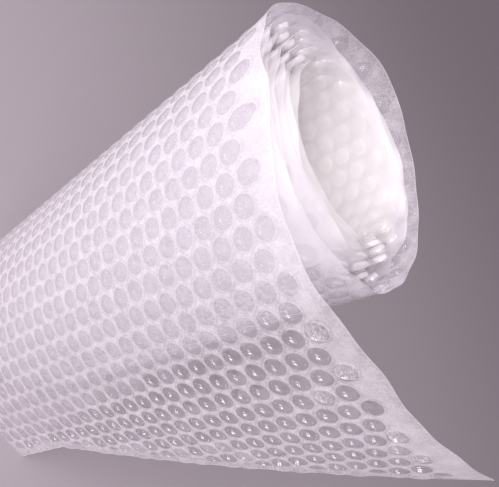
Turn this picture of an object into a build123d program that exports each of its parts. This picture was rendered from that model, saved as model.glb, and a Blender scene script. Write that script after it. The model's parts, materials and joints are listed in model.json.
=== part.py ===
"""Roll of small-bubble wrap, standing on its end with the loose end of the sheet opened out.

One sheet is wound outwards from an open hollow, flat film outside and bubbles inside.
Millimetres, +Z up along the roll, origin at the bottom centre of the bounding box.
"""

import os
from math import cos, degrees, floor, radians, sin

from build123d import *

# The sheet: flat film on one face, bubbles in staggered rows on the other
sheet_width = 300.0
sheet_thickness = 4.0
film_thickness = 1.0
bubble_diameter = 10.0
bubble_sides = 6
bubble_draft = 22.0
bubble_pitch = 11.5
row_pitch = 11.1
side_margin = 10.5
cut_margin = 9.0

# The roll: half turns of growing radius round an open hollow
hollow_diameter = 82.0
turn_gap = 0.3
half_turns = 13

# The top end: it slants, and the turns just inside its rim have slipped down on the far side
rim_half_turns = 2
slipped_half_turns = 4
end_slant = 6.5
end_high_angle = 195.0
turn_slip = 13.0

# The loose end: it leaves the roll at a tangent, lies round it, then opens out
leaving_angle = -124.0
wrapped_length = 60.0
curl_length = 120.0
curl_radius = 105.0
flare_radius = 280.0
long_edge_length = 250.0
short_edge_length = 158.0
slant_foot_height = 56.0

# Worked out from the sizes above
bubble_height = sheet_thickness - film_thickness
bubble_root = film_thickness / 2
first_radius = hollow_diameter / 2 + sheet_thickness
half_turn_growth = (sheet_thickness + turn_gap) / 2
roll_radius = first_radius + (half_turns - 1) * half_turn_growth
wrapped_turn = degrees(wrapped_length / curl_radius)
curl_turn = degrees(curl_length / curl_radius)
flare_turn = degrees((long_edge_length - curl_length) / flare_radius)
bubble_rows = floor((long_edge_length - wrapped_length) / row_pitch)
cut_slope = (long_edge_length - short_edge_length) / (sheet_width - slant_foot_height)
start_side = -1 if half_turns % 2 else 1
rim_start = half_turns - rim_half_turns
slipped_start = rim_start - slipped_half_turns
uncut_height = sheet_width + 2 * end_slant

# The section's plane, with local X from the roll's axis to the line where the sheet leaves it
section = Plane(
    origin=(0, 0, 0),
    x_dir=(cos(radians(leaving_angle)), sin(radians(leaving_angle)), 0),
    z_dir=(0, 0, 1),
)


def film_place(length, depth, height=0.0):
    """Finds a place on the loose end: X runs on along the sheet, Z points to its bubble side."""
    curl_heading = min(length, curl_length) / curl_radius
    heading = curl_heading + max(length - curl_length, 0.0) / flare_radius
    centre_shift = curl_radius - flare_radius
    x = roll_radius - curl_radius + centre_shift * cos(curl_heading)
    y = centre_shift * sin(curl_heading)
    on_sheet = Plane(
        origin=(
            x + (flare_radius - depth) * cos(heading),
            y + (flare_radius - depth) * sin(heading),
            height,
        ),
        x_dir=(-sin(heading), cos(heading), 0),
        z_dir=(-cos(heading), -sin(heading), 0),
    )
    return section.location * on_sheet.location


def row_length(row):
    """Gives how far along the loose end a row of bubbles lies, counted from where it turns thin."""
    return wrapped_length + (row + 0.5) * row_pitch


def cut_length(height):
    """Gives how far along the loose end the cut lies, at a height on the sheet."""
    return short_edge_length + cut_slope * max(height - slant_foot_height, 0.0)


def bubble_places():
    """Lists the places of the bubbles on the thin part of the loose end, row by row."""
    places = []
    columns = floor((sheet_width - 2 * side_margin) / bubble_pitch) + 1
    for row in range(bubble_rows):
        stagger = row % 2
        for column in range(columns - stagger):
            height = side_margin + (column + stagger / 2) * bubble_pitch
            if row_length(row) + cut_margin < cut_length(height):
                places.append(film_place(row_length(row), bubble_root, height))
    return places


def half_turn_run(depth, first, last):
    """Draws half turns by their numbers, at a depth below the sheet's outer face, and gives both ends."""
    radius = first_radius - depth
    ends = [(start_side * radius, 0)]
    heading = (0, start_side)
    for number in range(last):
        drawn = Mode.ADD if number >= first else Mode.PRIVATE
        arc = JernArc(ends[-1], heading, radius + number * half_turn_growth, 180, mode=drawn)
        ends.append(arc @ 1)
        heading = arc % 1
    return ends[first], ends[last], heading


def slanted_end(height, *slants):
    """Sets a plane across the roll: its height at the axis, and each slant's rise and angle."""
    slope_x = sum(rise * cos(radians(angle)) for rise, angle in slants) / roll_radius
    slope_y = sum(rise * sin(radians(angle)) for rise, angle in slants) / roll_radius
    return Plane((0, 0, height), z_dir=(-slope_x, -slope_y, 1))


def free_outer_face():
    """Draws the smooth outer face of the thin part of the loose end."""
    curl_centre = (roll_radius - curl_radius, 0)
    curl = CenterArc(curl_centre, curl_radius, wrapped_turn, curl_turn - wrapped_turn)
    return curl, JernArc(curl @ 1, curl % 1, flare_radius, flare_turn)


def free_inner_face():
    """Draws the bubble side of the thin part: a flat strip for each row of bubbles."""
    row_edges = [row_length(row - 0.5) for row in range(bubble_rows + 1)]
    strips = [section.to_local_coords(film_place(edge, film_thickness).position) for edge in row_edges]
    return Polyline(*strips)


# One bubble: a faceted blister that narrows to its top
with BuildPart() as bubble:
    with BuildSketch():
        RegularPolygon(radius=bubble_diameter / 2, side_count=bubble_sides)
    extrude(amount=bubble_root + bubble_height, taper=bubble_draft)

# Thin part of the loose end: bare film as long as its long edge
with BuildPart() as whole_film:
    with BuildSketch(section):
        with BuildLine():
            outer_curl, outer_flare = free_outer_face()
            inner_strips = free_inner_face()
            Line(outer_curl @ 0, inner_strips @ 0)
            Line(outer_flare @ 1, inner_strips @ 1)
        make_face()
    extrude(amount=sheet_width)

# What the cut takes off: the film past the short edge and below the slant
with BuildPart() as offcut:
    add(whole_film.part)
    short_end = Plane(film_place(short_edge_length, 0.0))
    split(bisect_by=Plane(short_end.origin, z_dir=short_end.x_dir), keep=Keep.TOP)
    slant_foot = film_place(short_edge_length, 0.0, slant_foot_height).position
    slant_top = film_place(long_edge_length, 0.0, sheet_width).position
    across_film = Plane(film_place((short_edge_length + long_edge_length) / 2, 0.0)).z_dir
    slant = Plane(slant_foot, x_dir=across_film, z_dir=across_film.cross(slant_top - slant_foot))
    split(bisect_by=slant, keep=Keep.TOP)

# Top ends of the turns: the slanted end, and the slipped turns' own, level with it where the sheet leaves
end_slope = (end_slant, end_high_angle)
level_top = slanted_end(sheet_width, end_slope)
slipped_top = slanted_end(sheet_width - turn_slip / 2, end_slope, (turn_slip / 2, leaving_angle))

# Innermost turns, at the sheet's full thickness
with BuildPart() as inner_turns:
    with BuildSketch(section):
        with BuildLine():
            outer_start, outer_end, _ = half_turn_run(0.0, 0, slipped_start)
            inner_start, inner_end, _ = half_turn_run(sheet_thickness, 0, slipped_start)
            Line(outer_start, inner_start)
            Line(outer_end, inner_end)
        make_face()
    extrude(amount=uncut_height)
    split(bisect_by=level_top, keep=Keep.BOTTOM)

# Slipped turns
with BuildPart() as slipped_turns:
    with BuildSketch(section):
        with BuildLine():
            outer_start, outer_end, _ = half_turn_run(0.0, slipped_start, rim_start)
            inner_start, inner_end, _ = half_turn_run(sheet_thickness, slipped_start, rim_start)
            Line(outer_start, inner_start)
            Line(outer_end, inner_end)
        make_face()
    extrude(amount=uncut_height)
    split(bisect_by=slipped_top, keep=Keep.BOTTOM)

# Rim turns, with the stretch that stays wrapped round the roll
with BuildPart() as rim_turns:
    with BuildSketch(section):
        with BuildLine():
            outer_start, outer_end, heading = half_turn_run(0.0, rim_start, half_turns)
            outer_wrap = JernArc(outer_end, heading, curl_radius, wrapped_turn)
            inner_start, inner_end, _ = half_turn_run(sheet_thickness, rim_start, half_turns)
            inner_wrap = JernArc(inner_end, heading, curl_radius - sheet_thickness, wrapped_turn)
            Line(outer_start, inner_start)
            Line(outer_wrap @ 1, inner_wrap @ 1)
        make_face()
    extrude(amount=uncut_height)
    split(bisect_by=level_top, keep=Keep.BOTTOM)

# Whole sheet about the roll's axis: wound turns, then film with its bubbles
with BuildPart() as rolled_sheet:
    add(inner_turns.part)
    add(slipped_turns.part)
    add(rim_turns.part)
    add(whole_film.part)
    add(offcut.part, mode=Mode.SUBTRACT)
    with Locations(*bubble_places()):
        add(bubble.part)

# The part in its own frame, with its bounding box centred over the origin
middle = rolled_sheet.part.bounding_box().center()
with BuildPart() as bubble_wrap_sheet:
    with Locations((-middle.X, -middle.Y, 0)):
        add(rolled_sheet.part)
bubble_wrap_sheet.part.label = "bubble_wrap_sheet"

os.makedirs("parts", exist_ok=True)
export_step(bubble_wrap_sheet.part, "parts/bubble_wrap_sheet.step")
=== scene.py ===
"""Looks of a roll of small-bubble wrap that stands on its end with its loose end opened out.

The sheet is one film, wound outwards from an open hollow, with air bubbles on its inner face.
A place on the sheet is its length along the sheet, counted from the line where the sheet leaves
the roll, its drop below the top side edge, and its depth towards the bubble side, in millimetres.
"""

import json
import logging
import math
from dataclasses import dataclass
from enum import Enum

import bpy
import numpy as np
from mathutils import Matrix, Vector


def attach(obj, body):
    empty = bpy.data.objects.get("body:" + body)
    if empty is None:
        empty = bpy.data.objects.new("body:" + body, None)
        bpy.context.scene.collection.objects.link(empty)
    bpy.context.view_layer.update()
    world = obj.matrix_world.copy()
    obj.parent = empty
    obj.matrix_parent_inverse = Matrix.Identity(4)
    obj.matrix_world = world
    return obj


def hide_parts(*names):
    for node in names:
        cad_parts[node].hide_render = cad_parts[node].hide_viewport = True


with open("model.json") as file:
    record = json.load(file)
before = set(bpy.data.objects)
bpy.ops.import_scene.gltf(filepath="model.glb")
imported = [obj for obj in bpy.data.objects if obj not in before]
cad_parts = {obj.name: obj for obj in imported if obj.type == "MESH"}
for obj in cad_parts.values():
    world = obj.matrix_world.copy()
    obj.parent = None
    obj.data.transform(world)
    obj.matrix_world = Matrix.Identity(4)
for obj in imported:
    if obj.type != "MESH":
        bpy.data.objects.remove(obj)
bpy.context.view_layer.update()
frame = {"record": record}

LOG = logging.getLogger("bubble_wrap_roll")
MM = 0.001
CAD_NODE = "bubble_wrap_sheet"
BODY = "root"
PLACE = "sheet_place"
STATE = "bubble_state"
LEAST_COSINE = 0.24
KNOT_SHARES = (0.35, 0.65)
GRAIN_DETAIL = 3.0
CLOUD_DETAIL = 2.0
HAZE_RANGE = (0.3, 0.7)
GRAIN_HEIGHT = 0.3

Array = np.ndarray
Colour = tuple[float, float, float, float]


def smooth_step(value: Array, start: float, end: float) -> Array:
    """Rises from 0 at start to 1 at end, level at both: the cubic 3t^2 - 2t^3."""
    t = np.clip((value - start) / (end - start), 0.0, 1.0)
    return t * t * (3.0 - 2.0 * t)


def bell(value: Array, middle: float, spread: float) -> Array:
    """A bell curve of height 1 about middle: e to the minus squared distance over spread."""
    return np.exp(-(((value - middle) / spread) ** 2))


class WaveSeed(Enum):
    """Seeds of the film's wavy lines."""

    SLACK = 3
    LEAN = 5
    CRIMP = 8
    RISE = 11


def wave_sum(along: Array, wavelengths: tuple[float, ...], seed: WaveSeed) -> Array:
    """A wavy line with values of about -1 to 1: a mean of sines, each with its own chance phase.

    Args:
        along: Places along the line, in millimetres.
        wavelengths: One wavelength for each sine.
        seed: Seed of the chance phases.

    Returns:
        The line's height at each place.
    """
    phases = np.random.default_rng(seed.value).uniform(0.0, 2.0 * np.pi, len(wavelengths))
    sines = [np.sin(2.0 * np.pi * along / length + phase) for length, phase in zip(wavelengths, phases)]
    return sum(sines) / math.sqrt(len(wavelengths))


@dataclass(frozen=True)
class BubblePattern:
    """Staggered rows of round bubbles on the flat sheet, a row running down the sheet's width.

    Rows past slide_start slip down the sheet by a share of their distance from it.
    """

    pitch: float = 11.5
    row_pitch: float = 11.1
    first_row: float = 83.2
    first_drop: float = 9.8
    slide: float = 0.055
    slide_start: float = 80.0
    per_row: int = 25
    radius: float = 5.0
    height: float = 3.4

    def row_drop(self, row: Array) -> Array:
        """Drop of a row's first bubble: odd rows lie half a pitch lower, and later rows have slipped."""
        length = self.first_row + row * self.row_pitch
        slipped = self.slide * np.maximum(length - self.slide_start, 0.0)
        return self.first_drop + 0.5 * self.pitch * (row % 2) + slipped

    def centres(self, start: float, end: float) -> tuple[Array, Array, Array, Array]:
        """Lists the bubbles whose centres lie between two lengths of the sheet.

        Args:
            start: Lowest length.
            end: Highest length.

        Returns:
            Each bubble's length, drop, row and number in its row, as flat arrays.
        """
        low = math.ceil((start - self.first_row) / self.row_pitch)
        high = math.floor((end - self.first_row) / self.row_pitch)
        row, column = np.meshgrid(np.arange(low, high + 1), np.arange(self.per_row), indexing="ij")
        length = self.first_row + row * self.row_pitch
        drop = self.row_drop(row) + column * self.pitch
        return length.ravel(), drop.ravel(), row.ravel(), column.ravel()

    def distance(self, length: Array, drop: Array) -> Array:
        """Distance from places on the sheet to the nearest bubble's centre."""
        row = np.round((length - self.first_row) / self.row_pitch)
        down = drop - self.row_drop(row)
        column = np.clip(np.round(down / self.pitch), 0, self.per_row - 1)
        along = length - self.first_row - row * self.row_pitch
        return np.hypot(along, down - column * self.pitch)


@dataclass(frozen=True)
class SheetForm:
    """Where each place of the sheet lies in space: the wound turns, and the loose end.

    In plan the wound sheet is a spiral whose radius grows by one turn pitch each turn. The loose end
    goes on from it as an arc of the curl's radius and then an arc of the flare's.
    """

    axis: tuple[float, float]
    width: float = 300.0
    roll_radius: float = 70.8
    first_turn_radius: float = 42.0
    turn_pitch: float = 4.3
    leaving_angle: float = -124.0
    curl_length: float = 120.0
    curl_radius: float = 105.0
    flare_radius: float = 280.0
    long_edge: float = 250.0
    short_edge: float = 158.0
    cut_slope: float = 0.377
    top_radius: float = 72.6
    foot_radius: float = 67.0
    taper_end: float = 80.0
    end_slant: float = 6.5
    end_high_angle: float = 195.0
    slant_end: float = 60.0
    turn_slip: float = 13.0
    slip_first: float = 1.0
    slip_last: float = 3.2
    slip_lead: float = 0.05
    slip_fade: float = 0.15
    margin: float = 9.0
    margin_bells: tuple[tuple[float, float, float], ...] = (
        (7.0, 36.0, 26.0),
        (7.0, -131.0, 50.0),
        (-2.0, 100.0, 16.0),
        (-2.6, 195.0, 28.0),
    )
    margin_ripple: float = 0.5
    lean: float = 1.1
    loose_lean: float = 0.5
    lean_change: tuple[float, float] = (40.0, 80.0)
    lean_depth: float = 7.0
    crimp: float = 0.7
    crimp_turns: tuple[float, float] = (0.8, 1.2)
    slack: float = 0.9
    slack_rise: tuple[float, float] = (40.0, 160.0)
    slack_slant: float = 0.4
    film_overlap: float = 100.0
    edge_waves: tuple[float, ...] = (31.0, 53.0, 89.0, 140.0)
    crimp_waves: tuple[float, ...] = (23.0, 37.0, 61.0)
    slack_waves: tuple[float, ...] = (95.0, 140.0)
    cling_slope: float = 0.12
    cling_end: float = 113.0

    @property
    def film_start(self) -> float:
        """Length at which the clear outer film begins: under the loose end, past the leaving line."""
        return self.length_at(self.roll_radius - self.turn_pitch) + self.film_overlap

    @property
    def sheet_start(self) -> float:
        """Length of the sheet's inner end, in the hollow."""
        return self.length_at(self.first_turn_radius)

    @property
    def hollow_end(self) -> float:
        """Length at which the innermost turn ends."""
        return self.sheet_start + 2.0 * math.pi * self.first_turn_radius

    def length_at(self, radius: float) -> float:
        """Length of the spiral where it has a radius: the ring's area over the turn pitch."""
        return math.pi * (radius**2 - self.roll_radius**2) / self.turn_pitch

    def cut_length(self, drop: Array) -> Array:
        """Length of the sheet at each drop: a long slant, then a square foot."""
        return np.maximum(self.long_edge - self.cut_slope * drop, self.short_edge)

    def past_cling(self, length: Array, drop: Array) -> Array:
        """How far a place lies past the line up to which the sheet clings to the roll."""
        return length - self.cling_slope * drop - self.cling_end

    def plan(self, length: Array) -> tuple[Array, Array, Array, Array]:
        """Works out the sheet's outer face in plan, about the roll's axis.

        Args:
            length: Lengths along the sheet.

        Returns:
            X, Y, the angle of the outward normal, and the number of turns that lie outside.
        """
        wound = np.minimum(length, 0.0)
        radius = np.sqrt(self.roll_radius**2 + self.turn_pitch * wound / math.pi)
        turned = (radius - self.roll_radius) * 2.0 * math.pi / self.turn_pitch
        curl = np.clip(length, 0.0, self.curl_length) / self.curl_radius
        flare = np.maximum(length - self.curl_length, 0.0) / self.flare_radius
        heading = np.where(length < 0.0, turned, curl + flare)
        shift = self.curl_radius - self.flare_radius
        x_loose = self.roll_radius - self.curl_radius + shift * np.cos(curl)
        x_loose = x_loose + self.flare_radius * np.cos(curl + flare)
        y_loose = shift * np.sin(curl) + self.flare_radius * np.sin(curl + flare)
        x = np.where(length < 0.0, radius * np.cos(turned), x_loose)
        y = np.where(length < 0.0, radius * np.sin(turned), y_loose)
        turn = math.radians(self.leaving_angle)
        return (
            x * math.cos(turn) - y * math.sin(turn),
            x * math.sin(turn) + y * math.cos(turn),
            heading + turn,
            -turned / (2.0 * math.pi),
        )

    def top_edge(self, x: Array, y: Array, length: Array, turns: Array) -> Array:
        """Height of the top side edge over the sheet's width: a slanted end, with some slipped turns."""
        high = math.radians(self.end_high_angle)
        turn = math.radians(self.leaving_angle)
        slope = self.end_slant * (x * math.cos(high) + y * math.sin(high)) / self.roll_radius
        beyond = (x * math.cos(turn) + y * math.sin(turn)) / self.roll_radius
        entered = smooth_step(turns, self.slip_first - self.slip_lead, self.slip_first + self.slip_fade)
        left = smooth_step(turns, self.slip_last - self.slip_fade, self.slip_last + self.slip_fade)
        slip = 0.5 * self.turn_slip * (1.0 - beyond) * entered * (1.0 - left)
        return slope * (1.0 - smooth_step(length, 0.0, self.slant_end)) - slip

    def margin_rise(self, length: Array) -> Array:
        """How far the bare margin stands above its usual height: bells where it bulges and dips."""
        bells = sum(height * bell(length, middle, spread) for height, middle, spread in self.margin_bells)
        return bells + self.margin_ripple * wave_sum(length, self.edge_waves, WaveSeed.RISE)

    def margin_lean(self, length: Array, drop: Array, turns: Array) -> Array:
        """How far the margin leans out: long waves on the outer turn, and a crimp on the turns within."""
        near_edge = np.exp(-drop / self.lean_depth)
        crimped = self.crimp * smooth_step(turns, *self.crimp_turns)
        wave = self.lean + (self.loose_lean - self.lean) * smooth_step(length, *self.lean_change)
        waves = wave * wave_sum(length, self.edge_waves, WaveSeed.LEAN)
        return near_edge * (waves + crimped * wave_sum(length, self.crimp_waves, WaveSeed.CRIMP))

    def place(self, length: Array, drop: Array, depth: Array | float) -> Array:
        """Finds places of the sheet in space.

        Args:
            length: Lengths along the sheet.
            drop: Drops below the top side edge.
            depth: Depths below the sheet's outer face, towards the bubbles.

        Returns:
            One row of X, Y and Z for each place, in millimetres.
        """
        x, y, normal, turns = self.plan(length)
        down = drop / self.width
        radius = self.top_radius + (self.foot_radius - self.top_radius) * down
        tight = 1.0 - smooth_step(length, 0.0, self.taper_end)
        taper = 1.0 + (radius / self.roll_radius - 1.0) * tight
        slanted = length + self.slack_slant * drop
        waves = smooth_step(length, *self.slack_rise) * wave_sum(slanted, self.slack_waves, WaveSeed.SLACK)
        inward = depth - self.margin_lean(length, drop, turns) - self.slack * waves
        rise = self.top_edge(x, y, length, turns) * (1.0 - down)
        rise = rise + np.exp(-((drop / self.margin) ** 2)) * self.margin_rise(length)
        return np.stack(
            [
                self.axis[0] + x * taper - np.cos(normal) * inward,
                self.axis[1] + y * taper - np.sin(normal) * inward,
                np.maximum(self.width - drop + rise, 0.0),
            ],
            axis=-1,
        )


def grid_faces(rows: int, columns: int) -> Array:
    """Quads of a grid whose points run row by row, turned to face along row cross column."""
    corner = (np.arange(rows - 1)[:, None] * columns + np.arange(columns - 1)[None, :]).ravel()
    return np.stack([corner, corner + columns, corner + columns + 1, corner + 1], axis=-1)


def make_piece(name: str, points: Array, quads: Array, tris: Array | None = None) -> bpy.types.Object:
    """Makes a smooth mesh piece at the origin that rides with the roll.

    Args:
        name: The piece's name.
        points: One row of X, Y and Z for each point, in millimetres.
        quads: One row of four point numbers for each four-sided face.
        tris: One row of three point numbers for each three-sided face, or None.

    Returns:
        The new object.
    """
    corners = [quads.ravel()] + ([] if tris is None else [tris.ravel()])
    sides = [np.full(len(quads), 4)] + ([] if tris is None else [np.full(len(tris), 3)])
    loops = np.concatenate(corners).astype(np.int32)
    totals = np.concatenate(sides).astype(np.int32)
    starts = np.concatenate([[0], np.cumsum(totals)[:-1]]).astype(np.int32)
    mesh = bpy.data.meshes.new(name)
    mesh.vertices.add(len(points))
    mesh.vertices.foreach_set("co", (points * MM).astype(np.float32).ravel())
    mesh.loops.add(len(loops))
    mesh.loops.foreach_set("vertex_index", loops)
    mesh.polygons.add(len(totals))
    mesh.polygons.foreach_set("loop_start", starts)
    mesh.polygons.foreach_set("use_smooth", np.ones(len(totals), bool))
    mesh.update(calc_edges=True)
    mesh.validate()
    piece = bpy.data.objects.new(name, mesh)
    bpy.context.scene.collection.objects.link(piece)
    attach(piece, BODY)
    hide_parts(CAD_NODE)
    LOG.info("%s: %d points, %d faces", name, len(points), len(totals))
    return piece


def mark_points(piece: bpy.types.Object, name: str, values: Array) -> None:
    """Stores a vector for each point of a piece, for its material to read."""
    attribute = piece.data.attributes.new(name, "FLOAT_VECTOR", "POINT")
    attribute.data.foreach_set("vector", values.astype(np.float32).ravel())


def mark_amount(piece: bpy.types.Object, name: str, values: Array) -> None:
    """Stores a number for each point of a piece, for its material to read."""
    attribute = piece.data.attributes.new(name, "FLOAT", "POINT")
    attribute.data.foreach_set("value", values.astype(np.float32))


class NodeSketch:
    """Adds nodes to one shader tree and joins them up."""

    def __init__(self, tree: bpy.types.NodeTree) -> None:
        """Keeps the tree that is written to."""
        self.tree = tree

    def put(self, socket: bpy.types.NodeSocket, value: object) -> None:
        """Links a socket to another socket, or sets its plain value."""
        if isinstance(value, bpy.types.NodeSocket):
            self.tree.links.new(value, socket)
        else:
            socket.default_value = value

    def add(self, kind: str, inputs: dict | None = None, **settings: object) -> bpy.types.Node:
        """Adds a node.

        Args:
            kind: The node's type name.
            inputs: Values or sockets by input name or number.
            settings: The node's own settings.

        Returns:
            The new node.
        """
        node = self.tree.nodes.new(kind)
        for name, value in settings.items():
            setattr(node, name, value)
        for name, value in (inputs or {}).items():
            self.put(node.inputs[name], value)
        return node

    def math(self, operation: str, *values: object, clamp: bool = False) -> bpy.types.NodeSocket:
        """Adds a Math node and returns its result."""
        inputs = dict(enumerate(values))
        return self.add("ShaderNodeMath", inputs, operation=operation, use_clamp=clamp).outputs[0]

    def fade(self, value: bpy.types.NodeSocket, start: float, end: float) -> bpy.types.NodeSocket:
        """Adds a smooth rise from 0 at start to 1 at end."""
        inputs = {"Value": value, "From Min": start, "From Max": end}
        return self.add("ShaderNodeMapRange", inputs, interpolation_type="SMOOTHSTEP").outputs[0]

    def between(self, factor: bpy.types.NodeSocket, low: object, high: object) -> bpy.types.NodeSocket:
        """Adds a blend of two numbers."""
        inputs = {"Factor": factor, "A": low, "B": high}
        return self.add("ShaderNodeMix", inputs, data_type="FLOAT").outputs["Result"]

    def tint(self, factor: bpy.types.NodeSocket, low: object, high: Colour) -> bpy.types.NodeSocket:
        """Adds a blend of two colours, the first of which may come from another node."""
        node = self.add("ShaderNodeMix", {"Factor": factor}, data_type="RGBA")
        self.put(node.inputs[6], low)
        self.put(node.inputs[7], high)
        return node.outputs[2]


def slanted_cover(sketch: NodeSketch, cover: bpy.types.NodeSocket) -> bpy.types.NodeSocket:
    """Makes film cover more where it is seen at a slant: one less its clearness to the power 1 / cosine.

    Args:
        sketch: The material's tree.
        cover: How much the film covers when it is seen square on.

    Returns:
        The cover at the angle it is seen at.
    """
    facing = sketch.add("ShaderNodeLayerWeight", {"Blend": 0.5}).outputs["Facing"]
    cosine = sketch.math("MAXIMUM", sketch.math("SUBTRACT", 1.0, facing), LEAST_COSINE)
    clear = sketch.math("SUBTRACT", 1.0, cover, clamp=True)
    thick = sketch.math("POWER", clear, sketch.math("DIVIDE", 1.0, cosine))
    return sketch.math("SUBTRACT", 1.0, thick, clamp=True)


def new_group(
    name: str, inputs: dict[str, str], outputs: dict[str, str]
) -> tuple[NodeSketch, bpy.types.Node, bpy.types.Node]:
    """Starts a shader node group with named sockets.

    Args:
        name: The group's name.
        inputs: Socket type by input name.
        outputs: Socket type by output name.

    Returns:
        A sketch of the group's tree, its input node and its output node.
    """
    tree = bpy.data.node_groups.new(name, "ShaderNodeTree")
    for label, kind in inputs.items():
        tree.interface.new_socket(label, in_out="INPUT", socket_type=kind)
    for label, kind in outputs.items():
        tree.interface.new_socket(label, in_out="OUTPUT", socket_type=kind)
    sketch = NodeSketch(tree)
    return sketch, sketch.add("NodeGroupInput"), sketch.add("NodeGroupOutput")


def lattice_group(pattern: BubblePattern) -> bpy.types.NodeTree:
    """Builds the group that finds the bubbles' discs from a place on the sheet.

    The row is the rounded length over the row pitch. Odd rows are moved by half a pitch, the bubble's
    number is the rounded drop over the pitch, and the disc is where the distance is under the radius.
    The knot is the web's widest place, between three discs.

    Args:
        pattern: The bubbles' pattern.

    Returns:
        The node group.
    """
    kinds = {"Place": "NodeSocketVector", "Softness": "NodeSocketFloat"}
    masks = {"Disc": "NodeSocketFloat", "Rim": "NodeSocketFloat", "Knot": "NodeSocketFloat"}
    sketch, given, made = new_group("bubble lattice", kinds, masks)
    place = sketch.add("ShaderNodeSeparateXYZ", {0: given.outputs["Place"]})
    along = sketch.math("SUBTRACT", place.outputs[0], pattern.first_row)
    row = sketch.math("ROUND", sketch.math("DIVIDE", along, pattern.row_pitch))
    odd = sketch.math("FLOORED_MODULO", row, 2.0)
    off_row = sketch.math("SUBTRACT", along, sketch.math("MULTIPLY", row, pattern.row_pitch))
    row_start = sketch.math("MULTIPLY_ADD", row, pattern.row_pitch, pattern.first_row - pattern.slide_start)
    slipped = sketch.math("MULTIPLY", sketch.math("MAXIMUM", row_start, 0.0), pattern.slide)
    shift = sketch.math("MULTIPLY_ADD", odd, 0.5 * pattern.pitch, pattern.first_drop)
    shift = sketch.math("ADD", shift, slipped)
    down = sketch.math("SUBTRACT", place.outputs[1], shift)
    number = sketch.math("ROUND", sketch.math("DIVIDE", down, pattern.pitch))
    number = sketch.math("MAXIMUM", sketch.math("MINIMUM", number, pattern.per_row - 1.0), 0.0)
    off_bubble = sketch.math("SUBTRACT", down, sketch.math("MULTIPLY", number, pattern.pitch))
    square = sketch.math("MULTIPLY_ADD", off_bubble, off_bubble, sketch.math("MULTIPLY", off_row, off_row))
    outside = sketch.math("SUBTRACT", sketch.math("SQRT", square), pattern.radius)
    soft = given.outputs["Softness"]
    disc = sketch.math("SUBTRACT", 0.5, sketch.math("DIVIDE", outside, soft), clamp=True)
    off_rim = sketch.math("DIVIDE", sketch.math("ABSOLUTE", outside), soft)
    rim = sketch.math("SUBTRACT", 1.0, off_rim, clamp=True)
    widest = math.hypot(0.5 * pattern.pitch, 0.5 * pattern.row_pitch) - pattern.radius
    start, end = (share * widest for share in KNOT_SHARES)
    sketch.put(made.inputs["Knot"], sketch.fade(outside, start, end))
    sketch.put(made.inputs["Disc"], disc)
    sketch.put(made.inputs["Rim"], rim)
    return sketch.tree


def haze_group() -> bpy.types.NodeTree:
    """Builds the group for the film's cloudiness: fine grain, soft clouds and crinkles.

    Returns:
        The node group.
    """
    kinds = {"Vector": "NodeSocketVector", "Grain Scale": "NodeSocketFloat", "Cloud Scale": "NodeSocketFloat"}
    masks = {"Haze": "NodeSocketFloat", "Height": "NodeSocketFloat"}
    sketch, given, made = new_group("film haze", kinds, masks)
    vector = given.outputs["Vector"]
    fine = {"Vector": vector, "Scale": given.outputs["Grain Scale"], "Detail": GRAIN_DETAIL}
    soft = {"Vector": vector, "Scale": given.outputs["Cloud Scale"], "Detail": CLOUD_DETAIL}
    grain = sketch.add("ShaderNodeTexNoise", fine)
    cloud = sketch.add("ShaderNodeTexNoise", soft)
    both = sketch.math("MULTIPLY", sketch.math("ADD", grain.outputs[0], cloud.outputs[0]), 0.5)
    sketch.put(made.inputs["Haze"], sketch.fade(both, *HAZE_RANGE))
    height = sketch.math("MULTIPLY_ADD", grain.outputs[0], GRAIN_HEIGHT, cloud.outputs[0])
    sketch.put(made.inputs["Height"], height)
    return sketch.tree


class EffectGroups:
    """The node groups that the finishes share."""

    def __init__(self, pattern: BubblePattern) -> None:
        """Builds both groups once."""
        self.lattice = lattice_group(pattern)
        self.haze = haze_group()

    def place_lattice(self, sketch: NodeSketch, softness: float) -> bpy.types.Node:
        """Adds the lattice to a material, fed by the piece's stored places."""
        place = sketch.add("ShaderNodeAttribute", attribute_name=PLACE)
        inputs = {"Place": place.outputs["Vector"], "Softness": softness}
        node = sketch.add("ShaderNodeGroup", node_tree=self.lattice)
        for name, value in inputs.items():
            sketch.put(node.inputs[name], value)
        return node

    def place_haze(self, sketch: NodeSketch, grain: float, cloud: float) -> bpy.types.Node:
        """Adds the haze to a material, on the piece's own coordinates."""
        spot = sketch.add("ShaderNodeTexCoord")
        inputs = {"Vector": spot.outputs["Object"], "Grain Scale": grain, "Cloud Scale": cloud}
        node = sketch.add("ShaderNodeGroup", node_tree=self.haze)
        for name, value in inputs.items():
            sketch.put(node.inputs[name], value)
        return node


def new_material(name: str) -> tuple[bpy.types.Material, NodeSketch, bpy.types.Node]:
    """Starts a material with one Principled shader.

    Args:
        name: The material's name.

    Returns:
        The material, a sketch of its tree and its shader.
    """
    material = bpy.data.materials.new(name)
    material.use_nodes = True
    sketch = NodeSketch(material.node_tree)
    return material, sketch, material.node_tree.nodes["Principled BSDF"]


@dataclass(frozen=True)
class Gloss:
    """The film's shine: a clear coat of an index and a roughness."""

    weight: float = 1.0
    index: float = 2.0
    roughness: float = 0.08

    def put_on(self, shader: bpy.types.Node) -> None:
        """Gives a shader the coat."""
        shader.inputs["Coat Weight"].default_value = self.weight
        shader.inputs["Coat IOR"].default_value = self.index
        shader.inputs["Coat Roughness"].default_value = self.roughness


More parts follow.
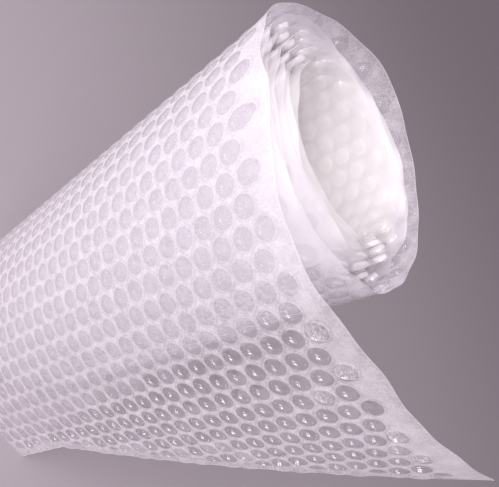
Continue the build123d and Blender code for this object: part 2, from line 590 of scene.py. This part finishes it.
@dataclass(frozen=True)
class Relief:
    """The film's fine relief: noise scales, a bump's depth in metres, and its strength.

    Where film is crumpled, the strength grows by a gain.
    """

    grain_scale: float = 1400.0
    cloud_scale: float = 500.0
    distance: float = 0.0012
    strength: float = 0.06
    crumple_gain: float = 0.9

    def put_on(
        self, groups: EffectGroups, sketch: NodeSketch, shader: bpy.types.Node, crumple: object = None
    ) -> bpy.types.NodeSocket:
        """Bumps a shader.

        Args:
            groups: The shared node groups.
            sketch: The material's tree.
            shader: The material's shader.
            crumple: How far the film is crumpled, or None where it never is.

        Returns:
            The film's haze.
        """
        haze = groups.place_haze(sketch, self.grain_scale, self.cloud_scale)
        strength = self.strength
        if crumple is not None:
            strength = sketch.math("MULTIPLY_ADD", crumple, self.crumple_gain, self.strength)
        inputs = {"Height": haze.outputs["Height"], "Strength": strength, "Distance": self.distance}
        bump = sketch.add("ShaderNodeBump", inputs)
        sketch.put(shader.inputs["Normal"], bump.outputs[0])
        return haze.outputs["Haze"]


@dataclass(frozen=True)
class FilmFinish:
    """The outer film: a cloudy web, clearer discs where it spans a bubble, and a clearer margin. Its discs
    are painted darker, as painted shade of the bubbles behind them.
    """

    web_colour: Colour = (0.95, 0.89, 0.96, 1.0)
    disc_painted_shade: Colour = (0.80, 0.735, 0.82, 1.0)
    web_haze: float = 0.30
    disc_haze: float = 0.08
    cling_haze: float = 0.26
    cling_fade: float = 11.0
    margin_haze: float = 0.22
    rim_haze: float = 0.10
    knot_haze: float = 0.10
    grain_haze: float = 0.22
    edge_haze: float = 0.70
    edge_width: float = 0.55
    margin: float = 6.0
    margin_start: float = 1.0
    disc_fade: tuple[float, float] = (2.6, 4.6)
    softness: float = 0.6
    web_roughness: float = 0.36
    disc_roughness: float = 0.20
    web_gloss: float = 0.3
    gloss: Gloss = Gloss()
    relief: Relief = Relief(900.0, 140.0, 0.0006, 0.25)

    def make(self, groups: EffectGroups, form: SheetForm) -> bpy.types.Material:
        """Builds the film's material."""
        material, sketch, shader = new_material("outer film")
        lattice = groups.place_lattice(sketch, self.softness)
        haze = self.relief.put_on(groups, sketch, shader)
        disc = lattice.outputs["Disc"]
        place = sketch.add("ShaderNodeAttribute", attribute_name=PLACE)
        parts = sketch.add("ShaderNodeSeparateXYZ", {0: place.outputs["Vector"]})
        from_edge = parts.outputs[2]
        disc = sketch.math("MULTIPLY", disc, sketch.fade(from_edge, *self.disc_fade))
        clung = sketch.math("MULTIPLY_ADD", parts.outputs[1], -form.cling_slope, parts.outputs[0])
        clung = sketch.fade(clung, form.cling_end + self.cling_fade, form.cling_end - self.cling_fade)
        inside = sketch.fade(from_edge, self.margin_start, self.margin)
        web = sketch.between(inside, self.margin_haze, self.web_haze)
        cover = sketch.between(disc, web, sketch.between(clung, self.disc_haze, self.cling_haze))
        cover = sketch.math("MULTIPLY_ADD", lattice.outputs["Rim"], self.rim_haze, cover)
        cover = sketch.math("MULTIPLY_ADD", lattice.outputs["Knot"], self.knot_haze, cover)
        grain = sketch.math("SUBTRACT", haze, 0.5)
        cover = sketch.math("MULTIPLY_ADD", grain, self.grain_haze, cover)
        edge = sketch.fade(from_edge, self.edge_width, 0.0)
        cover = sketch.math("MAXIMUM", cover, sketch.math("MULTIPLY", edge, self.edge_haze), clamp=True)
        # painted shade: the film over each bubble is coloured darker than the web, for the shade inside the
        # bubble
        sketch.put(shader.inputs["Base Color"], sketch.tint(disc, self.web_colour, self.disc_painted_shade))
        sketch.put(shader.inputs["Alpha"], slanted_cover(sketch, cover))
        roughness = sketch.between(disc, self.web_roughness, self.disc_roughness)
        sketch.put(shader.inputs["Roughness"], roughness)
        self.gloss.put_on(shader)
        sketch.put(shader.inputs["Coat Weight"], sketch.between(disc, self.web_gloss, self.gloss.weight))
        return material


@dataclass(frozen=True)
class ClearBubbleFinish:
    """The loose end's bubbles: clear as glass with a sharp gloss, and crinkled where they are crumpled."""

    colour: Colour = (0.93, 0.89, 0.94, 1.0)
    clearness: float = 0.94
    index: float = 1.08
    smooth_roughness: float = 0.03
    creased_roughness: float = 0.30
    gloss: Gloss = Gloss(roughness=0.05, index=1.9)
    relief: Relief = Relief()

    def make(self, groups: EffectGroups) -> bpy.types.Material:
        """Builds the clear bubbles' material."""
        material, sketch, shader = new_material("blown bubbles")
        crumple = sketch.add("ShaderNodeAttribute", attribute_name=STATE).outputs["Fac"]
        haze = self.relief.put_on(groups, sketch, shader, crumple)
        creases = sketch.math("MULTIPLY", crumple, haze)
        roughness = sketch.between(creases, self.smooth_roughness, self.creased_roughness)
        shader.inputs["Base Color"].default_value = self.colour
        shader.inputs["Transmission Weight"].default_value = self.clearness
        shader.inputs["IOR"].default_value = self.index
        sketch.put(shader.inputs["Roughness"], roughness)
        self.gloss.put_on(shader)
        return material


@dataclass(frozen=True)
class PressedBubbleFinish:
    """Bubbles pressed between turns or crumpled: cloudy film that covers more at walls and creases."""

    name: str
    colour: Colour
    haze: float
    crumple_haze: float = 0.12
    clear_roughness: float = 0.12
    cloudy_roughness: float = 0.22
    gloss: Gloss = Gloss(roughness=0.05, index=2.4)
    relief: Relief = Relief()

    def make(self, groups: EffectGroups) -> bpy.types.Material:
        """Builds the pressed bubbles' material."""
        material, sketch, shader = new_material(self.name)
        crumple = sketch.add("ShaderNodeAttribute", attribute_name=STATE).outputs["Fac"]
        haze = self.relief.put_on(groups, sketch, shader, crumple)
        creases = sketch.math("MULTIPLY", crumple, haze)
        cover = sketch.math("MULTIPLY_ADD", creases, self.crumple_haze, self.haze, clamp=True)
        roughness = sketch.between(haze, self.clear_roughness, self.cloudy_roughness)
        shader.inputs["Base Color"].default_value = self.colour
        sketch.put(shader.inputs["Alpha"], slanted_cover(sketch, cover))
        sketch.put(shader.inputs["Roughness"], roughness)
        self.gloss.put_on(shader)
        return material


@dataclass(frozen=True)
class TurnFinish:
    """The wound turns: milky where the layers add up, clearer along the bare margins. Their discs are painted
    darker as painted shade of the bubbles, and the hollow carries a painted light tone.
    """

    colour: Colour = (0.94, 0.90, 0.945, 1.0)
    disc_painted_shade: Colour = (0.85, 0.795, 0.86, 1.0)
    hollow_painted_light: Colour = (0.92, 0.875, 0.89, 1.0)
    margin: float = 10.0
    deep_haze: float = 0.66
    margin_haze: float = 0.48
    edge_haze: float = 0.45
    edge_width: float = 0.6
    hollow_fade: float = 250.0
    softness: float = 1.2
    web_roughness: float = 0.42
    disc_roughness: float = 0.30
    gloss: Gloss = Gloss(weight=0.6, index=1.7, roughness=0.12)
    relief: Relief = Relief(700.0, 90.0, 0.001, 0.35)

    def make(self, groups: EffectGroups, form: SheetForm) -> bpy.types.Material:
        """Builds the wound turns' material."""
        material, sketch, shader = new_material("wound film")
        lattice = groups.place_lattice(sketch, self.softness)
        self.relief.put_on(groups, sketch, shader)
        place = sketch.add("ShaderNodeAttribute", attribute_name=PLACE)
        parts = sketch.add("ShaderNodeSeparateXYZ", {0: place.outputs["Vector"]})
        inside = sketch.fade(parts.outputs[2], 0.0, self.margin)
        # painted light: the innermost turn fades to a dimmer cream tone, for the light that reaches the
        # hollow through the layers
        past_hollow = form.hollow_end + self.hollow_fade
        in_hollow = sketch.fade(parts.outputs[0], past_hollow, form.hollow_end)
        cover = sketch.between(inside, self.margin_haze, self.deep_haze)
        edge = sketch.fade(parts.outputs[2], self.edge_width, 0.0)
        cover = sketch.math("MAXIMUM", cover, sketch.math("MULTIPLY", edge, self.edge_haze))
        disc = lattice.outputs["Disc"]
        # painted shade: where the bubbles sit the film is coloured darker than the web, for the shade in the
        # bubble gap
        wound = sketch.tint(disc, self.colour, self.disc_painted_shade)
        sketch.put(shader.inputs["Base Color"], sketch.tint(in_hollow, wound, self.hollow_painted_light))
        sketch.put(shader.inputs["Alpha"], cover)
        roughness = sketch.between(disc, self.web_roughness, self.disc_roughness)
        sketch.put(shader.inputs["Roughness"], roughness)
        self.gloss.put_on(shader)
        return material


@dataclass
class OuterFilm:
    """The film of the outermost turn and the loose end, cut off at a slant."""

    form: SheetForm
    pattern: BubblePattern
    columns: int = 460
    rows: int = 180
    pillow: float = 0.6
    cut_share: float = 0.55

    def build(self) -> bpy.types.Object:
        """Builds the film: a grid from its start to the cut, with a pillow over each bubble."""
        shares = np.linspace(0.0, 1.0, self.columns)
        share, down = np.meshgrid(shares, np.linspace(0.0, 1.0, self.rows), indexing="ij")
        start = self.form.film_start
        drop = down * self.form.width
        cut = self.form.cut_length(drop)
        length = start + share * (cut - start)
        off_centre = self.pattern.distance(length, drop) / self.pattern.radius
        swell = self.pillow * np.clip(1.0 - off_centre**2, 0.0, 1.0)
        points = self.form.place(length.ravel(), drop.ravel(), -swell.ravel())
        piece = make_piece("outer_film", points, grid_faces(self.columns, self.rows))
        from_edge = np.minimum(np.minimum(drop, self.form.width - drop), self.cut_share * (cut - length))
        mark_points(piece, PLACE, np.stack([length, drop, from_edge], axis=-1).reshape(-1, 3))
        return piece

    def dress(self, piece: bpy.types.Object, finish: bpy.types.Material) -> None:
        """Gives the film its finish."""
        piece.data.materials.append(finish)


class BubbleCount(Enum):
    """How finely a bubble is divided: sides round it, and rings up it."""

    NEAR = (20, 6)
    FAR = (10, 3)


class BubbleKind(Enum):
    """Which of a field's bubbles are built."""

    ALL = "all"
    SOUND = "sound"
    CRUMPLED = "crumpled"


@dataclass(frozen=True)
class DomeShape:
    """A bubble's dome: powers of its section, its foot's share of the radius, and how far dents go."""

    foot_share: float = 0.97
    wall_power: float = 0.55
    crown_power: float = 0.9
    film_gap: float = 0.12
    dent_across: float = 0.10
    dent_up: float = 0.45


@dataclass(frozen=True)
class Wear:
    """Which bubbles are crumpled or flat, and how high the bubbles stand."""

    cut_band: float = 26.0
    cut_chance: float = 0.6
    edge_chance: float = 0.2
    edge_bubbles: int = 2
    pinch: tuple[float, float] = (0.2, 0.7)
    spoilt: float = 0.5
    heights: tuple[float, float] = (0.88, 1.05)
    flat_height: float = 0.12
    sag: float = 0.3
    crumpled_rows: tuple[int, ...] = (4, 6, 10, 12)
    flat_rows: tuple[int, ...] = (8,)


@dataclass
class BubbleField:
    """Bubbles on the inner face of a stretch of the sheet."""

    name: str
    form: SheetForm
    pattern: BubblePattern
    fineness: BubbleCount
    start: float
    end: float
    loose: bool = False
    kind: BubbleKind = BubbleKind.ALL
    squash: float = 1.0
    seed: int = 1
    dent_seed_step: int = 100
    cut_clearance: float = 5.5
    dome: DomeShape = DomeShape()
    wear: Wear = Wear()

    def chosen(self) -> tuple[Array, Array, Array, Array]:
        """Lists the field's whole bubbles, clear of the cut and the side edge."""
        length, drop, row, number = self.pattern.centres(self.start, self.end)
        whole = length + self.cut_clearance < self.form.cut_length(drop)
        whole = whole & (drop + self.cut_clearance < self.form.width)
        whole = whole & ((self.form.past_cling(length, drop) > 0.0) == self.loose)
        return length[whole], drop[whole], row[whole], number[whole]

    def states(self, drop: Array, row: Array, number: Array) -> tuple[Array, Array]:
        """How far each bubble is crumpled, and how high it stands: those by the edges suffer most.

        Args:
            drop: Each bubble's drop.
            row: Each bubble's row.
            number: Each bubble's number in its row.

        Returns:
            Crumple from 0 to 1, and a share of the full height.
        """
        wear = self.wear
        count = len(number)
        chance = np.random.default_rng(self.seed)
        first = number == 0
        crumpled = first & np.isin(row, wear.crumpled_rows)
        length = self.pattern.first_row + row * self.pattern.row_pitch
        by_cut = self.form.cut_length(drop) - length < wear.cut_band
        odds = np.where(by_cut, wear.cut_chance, wear.edge_chance * (number < wear.edge_bubbles))
        unlucky = chance.uniform(0.0, 1.0, count) < odds
        pinch = np.where(unlucky, chance.uniform(*wear.pinch, count), 0.0)
        crumple = np.where(crumpled, 1.0, pinch)
        flat = first & np.isin(row, wear.flat_rows)
        share = np.where(flat, wear.flat_height, 1.0 - wear.sag * crumple)
        return crumple, chance.uniform(*wear.heights, count) * share * self.squash

    def kept(self, crumple: Array) -> Array:
        """Tells which bubbles are of the field's kind: one crumpled past a limit isn't sound."""
        spoilt = crumple > self.wear.spoilt
        if self.kind is BubbleKind.SOUND:
            return ~spoilt
        return spoilt if self.kind is BubbleKind.CRUMPLED else np.full(len(crumple), True)

    def build(self) -> bpy.types.Object:
        """Builds the bubbles: each a dome whose section is a quarter of a superellipse.

        With t from 0 at the wall's foot to a right angle at the top, the radius goes with cosine t to
        the wall's power and the height with sine t to the crown's.
        """
        length, drop, row, number = self.chosen()
        crumple, height = self.states(drop, row, number)
        kept = self.kept(crumple)
        length, drop, crumple, height = length[kept], drop[kept], crumple[kept], height[kept]
        sides, rings = self.fineness.value
        rise = np.linspace(0.0, 0.5 * math.pi, rings + 1)[:-1]
        turn = np.linspace(0.0, 2.0 * math.pi, sides, endpoint=False)
        dome = self.dome
        foot = self.pattern.radius * dome.foot_share
        radius = np.append(np.repeat(np.cos(rise) ** dome.wall_power, sides), 0.0) * foot
        lift = np.append(np.repeat(np.sin(rise) ** dome.crown_power, sides), 1.0) * self.pattern.height
        angle = np.append(np.tile(turn, rings), 0.0)
        chance = np.random.default_rng(self.seed + self.dent_seed_step)
        dent = chance.uniform(-1.0, 1.0, (len(length), len(radius))) * crumple[:, None]
        reach = radius * (1.0 + dome.dent_across * dent)
        along = length[:, None] + reach * np.cos(angle)
        across = drop[:, None] + reach * np.sin(angle)
        depth = dome.film_gap + lift * height[:, None] * (1.0 + dome.dent_up * dent)
        points = self.form.place(along.ravel(), across.ravel(), depth.ravel())
        each = len(radius)
        step = np.arange(sides)
        ring = np.arange(rings - 1)[:, None] * sides
        following = (step + 1) % sides
        above = ring + sides
        wall = np.stack([ring + step, above + step, above + following, ring + following], axis=-1)
        top = (rings - 1) * sides
        cap = np.stack([top + step, np.full(sides, each - 1), top + following], axis=-1)
        base = np.arange(len(length)) * each
        quads = (base[:, None, None] + wall.reshape(1, -1, 4)).reshape(-1, 4)
        tris = (base[:, None, None] + cap.reshape(1, -1, 3)).reshape(-1, 3)
        piece = make_piece(self.name, points, quads, tris)
        mark_amount(piece, STATE, np.repeat(crumple, each))
        return piece

    def dress(self, piece: bpy.types.Object, finish: bpy.types.Material) -> None:
        """Gives the bubbles their finish, and leaves the shadow to the film that they sit on."""
        piece.data.materials.append(finish)
        piece.visible_shadow = False


@dataclass
class EndBubbles(BubbleField):
    """Bubbles that show between the wound turns at the roll's two ends, or those on the hollow's wall."""

    hollow: bool = False
    end_rows: int = 3
    hollow_height: float = 0.04

    def states(self, drop: Array, row: Array, number: Array) -> tuple[Array, Array]:
        """As for any field, but the bubbles of the hollow's wall are pressed flat."""
        crumple, height = super().states(drop, row, number)
        length = self.pattern.first_row + row * self.pattern.row_pitch
        return crumple, np.where(length < self.form.hollow_end, self.hollow_height, height)

    def chosen(self) -> tuple[Array, Array, Array, Array]:
        """Lists the bubbles of the rows nearest the ends, or for the hollow all on the innermost turn."""
        length, drop, row, number = self.pattern.centres(self.start, self.end)
        in_hollow = length < self.form.hollow_end
        near_end = (number < self.end_rows) | (number >= self.pattern.per_row - 1)
        shown = in_hollow if self.hollow else near_end & ~in_hollow
        return length[shown], drop[shown], row[shown], number[shown]


@dataclass
class WoundTurns:
    """The film of all the turns under the outermost one."""

    form: SheetForm
    columns: int = 760
    bands: tuple[tuple[float, float, int], ...] = ((0.0, 24.0, 15), (32.0, 276.0, 22), (281.0, 300.0, 6))

    def build(self) -> bpy.types.Object:
        """Builds the film: a grid from the sheet's inner end to the start of the clear outer film."""
        lengths = np.linspace(self.form.sheet_start, self.form.film_start, self.columns)
        drops = np.concatenate([np.linspace(*band) for band in self.bands])
        length, drop = np.meshgrid(lengths, drops, indexing="ij")
        points = self.form.place(length.ravel(), drop.ravel(), 0.0)
        piece = make_piece("wound_turns", points, grid_faces(self.columns, len(drops)))
        from_edge = np.minimum(drop, self.form.width - drop)
        mark_points(piece, PLACE, np.stack([length, drop, from_edge], axis=-1).reshape(-1, 3))
        return piece

    def dress(self, piece: bpy.types.Object, finish: bpy.types.Material) -> None:
        """Gives the wound turns their finish."""
        piece.data.materials.append(finish)


@dataclass(frozen=True)
class Lamp:
    """A soft square lamp: where it stands and aims, in metres, its width and its power."""

    name: str
    place: tuple[float, float, float]
    aim: tuple[float, float, float]
    width: float
    power: float

    def light(self) -> None:
        """Sets the lamp up."""
        data = bpy.data.lights.new(self.name, "AREA")
        data.size = self.width
        data.energy = self.power
        lamp = bpy.data.objects.new(self.name, data)
        lamp.location = self.place
        away = Vector(self.aim) - Vector(self.place)
        lamp.rotation_euler = away.to_track_quat("-Z", "Y").to_euler()
        bpy.context.scene.collection.objects.link(lamp)


@dataclass(frozen=True)
class Studio:
    """Floor, soft light and camera."""

    axis: tuple[float, float]
    floor_colour: Colour = (0.37, 0.32, 0.357, 1.0)
    world_colour: Colour = (0.55, 0.50, 0.54, 1.0)
    world_strength: float = 0.75
    floor_size: float = 12.0
    floor_roughness: float = 0.9
    transparent_bounces: int = 32
    diffuse_bounces: int = 7
    most_bounces: int = 16
    near_clip: float = 0.01
    focal_length: float = 37.48
    camera_from_axis: tuple[float, float, float] = (84.97, -225.43, 398.68)
    heading: float = 15.70
    dip: float = 36.88
    roll: float = 64.90
    lamps: tuple[Lamp, ...] = (
        Lamp("key lamp", (-0.66, -0.60, 0.50), (-0.08, -0.05, 0.24), 0.4, 1.8),
        Lamp("top lamp", (-0.14, -0.70, 1.02), (-0.03, -0.02, 0.25), 0.7, 12.0),
        Lamp("fill lamp", (0.55, -0.62, 0.70), (0.0, -0.02, 0.20), 0.4, 2.0),
    )

    def floor(self) -> None:
        """Lays the floor: one large plain square."""
        half = 0.5 * self.floor_size
        corners = [(-half, -half, 0), (half, -half, 0), (half, half, 0), (-half, half, 0)]
        mesh = bpy.data.meshes.new("floor")
        mesh.from_pydata(corners, [], [(0, 1, 2, 3)])
        floor = bpy.data.objects.new("floor", mesh)
        bpy.context.scene.collection.objects.link(floor)
        material, _, shader = new_material("plain floor")
        shader.inputs["Base Color"].default_value = self.floor_colour
        shader.inputs["Roughness"].default_value = self.floor_roughness
        mesh.materials.append(material)

    def light(self) -> None:
        """Sets up the lamps, the world's light, and how far light is followed through the film."""
        for lamp in self.lamps:
            lamp.light()
        world = bpy.data.worlds.new("studio")
        world.use_nodes = True
        background = world.node_tree.nodes["Background"]
        background.inputs["Color"].default_value = self.world_colour
        background.inputs["Strength"].default_value = self.world_strength
        scene = bpy.context.scene
        scene.world = world
        scene.cycles.transparent_max_bounces = self.transparent_bounces
        scene.cycles.diffuse_bounces = self.diffuse_bounces
        scene.cycles.max_bounces = self.most_bounces

    def camera(self) -> None:
        """Sets the camera up: turned to its heading, dipped, and rolled over on its side."""
        data = bpy.data.cameras.new("camera")
        data.lens = self.focal_length
        data.clip_start = self.near_clip
        camera = bpy.data.objects.new("camera", data)
        place = Vector(self.camera_from_axis) + Vector((*self.axis, 0.0))
        turn = Matrix.Rotation(math.radians(self.heading), 4, "Z")
        turn = turn @ Matrix.Rotation(math.radians(90.0 - self.dip), 4, "X")
        turn = turn @ Matrix.Rotation(math.radians(self.roll), 4, "Z")
        camera.matrix_world = Matrix.Translation(place * MM) @ turn
        bpy.context.scene.collection.objects.link(camera)
        bpy.context.scene.camera = camera


MILK: Colour = (0.955, 0.92, 0.94, 1.0)
WOUND_BUBBLES = PressedBubbleFinish("wound bubbles", (0.86, 0.81, 0.87, 1.0), haze=0.12)
CRUMPLED_BUBBLES = PressedBubbleFinish(
    "crumpled bubbles", (0.93, 0.88, 0.94, 1.0), haze=0.08, crumple_haze=0.50
)
MILKY_BUBBLES = PressedBubbleFinish("milky bubbles", MILK, haze=0.70)
HOLLOW_BUBBLES = PressedBubbleFinish("hollow bubbles", MILK, haze=0.14)
OUTER_SQUASH = 0.9
END_SQUASH = 0.85


def roll_axis() -> tuple[float, float]:
    """Finds the roll's axis in plan, in millimetres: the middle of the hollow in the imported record."""
    openings = {opening["name"]: opening["box_m"] for opening in frame["record"]["physics"]["openings"]}
    low, high = openings["roll_hollow"]
    return (low[0] + high[0]) / (2.0 * MM), (low[1] + high[1]) / (2.0 * MM)


def main() -> None:
    """Builds the roll's pieces in order, dresses them, and sets up the studio."""
    logging.basicConfig(level=logging.INFO, format="%(name)s: %(message)s")
    axis = roll_axis()
    pattern = BubblePattern()
    form = SheetForm(axis)
    groups = EffectGroups(pattern)
    film_finish = FilmFinish().make(groups, form)
    clear_finish = ClearBubbleFinish().make(groups)
    body_finish = WOUND_BUBBLES.make(groups)
    crumpled_finish = CRUMPLED_BUBBLES.make(groups)
    milky_finish = MILKY_BUBBLES.make(groups)
    hollow_finish = HOLLOW_BUBBLES.make(groups)
    turn_finish = TurnFinish().make(groups, form)

    film = OuterFilm(form, pattern)
    film.dress(film.build(), film_finish)
    near, far = BubbleCount.NEAR, BubbleCount.FAR
    loose_end = {"start": 0.0, "end": form.long_edge, "loose": True, "seed": 7}
    sound = BubbleField("loose_end_bubbles", form, pattern, near, kind=BubbleKind.SOUND, **loose_end)
    sound.dress(sound.build(), clear_finish)
    crumpled = BubbleField("crumpled_bubbles", form, pattern, near, kind=BubbleKind.CRUMPLED, **loose_end)
    crumpled.dress(crumpled.build(), crumpled_finish)
    start, end = form.film_start, form.short_edge
    outer = BubbleField("outer_turn_bubbles", form, pattern, far, start, end, squash=OUTER_SQUASH)
    outer.dress(outer.build(), body_finish)
    turns = WoundTurns(form)
    turns.dress(turns.build(), turn_finish)
    first = form.sheet_start + pattern.radius
    ends = EndBubbles("end_bubbles", form, pattern, far, first, start, squash=END_SQUASH, seed=3)
    ends.dress(ends.build(), milky_finish)
    hollow = EndBubbles("hollow_bubbles", form, pattern, far, first, start, hollow=True, seed=4)
    hollow.dress(hollow.build(), hollow_finish)

    studio = Studio(axis)
    studio.floor()
    studio.light()
    studio.camera()
    bpy.context.scene.view_settings.view_transform = "Standard"


if __name__ == "__main__":
    main()
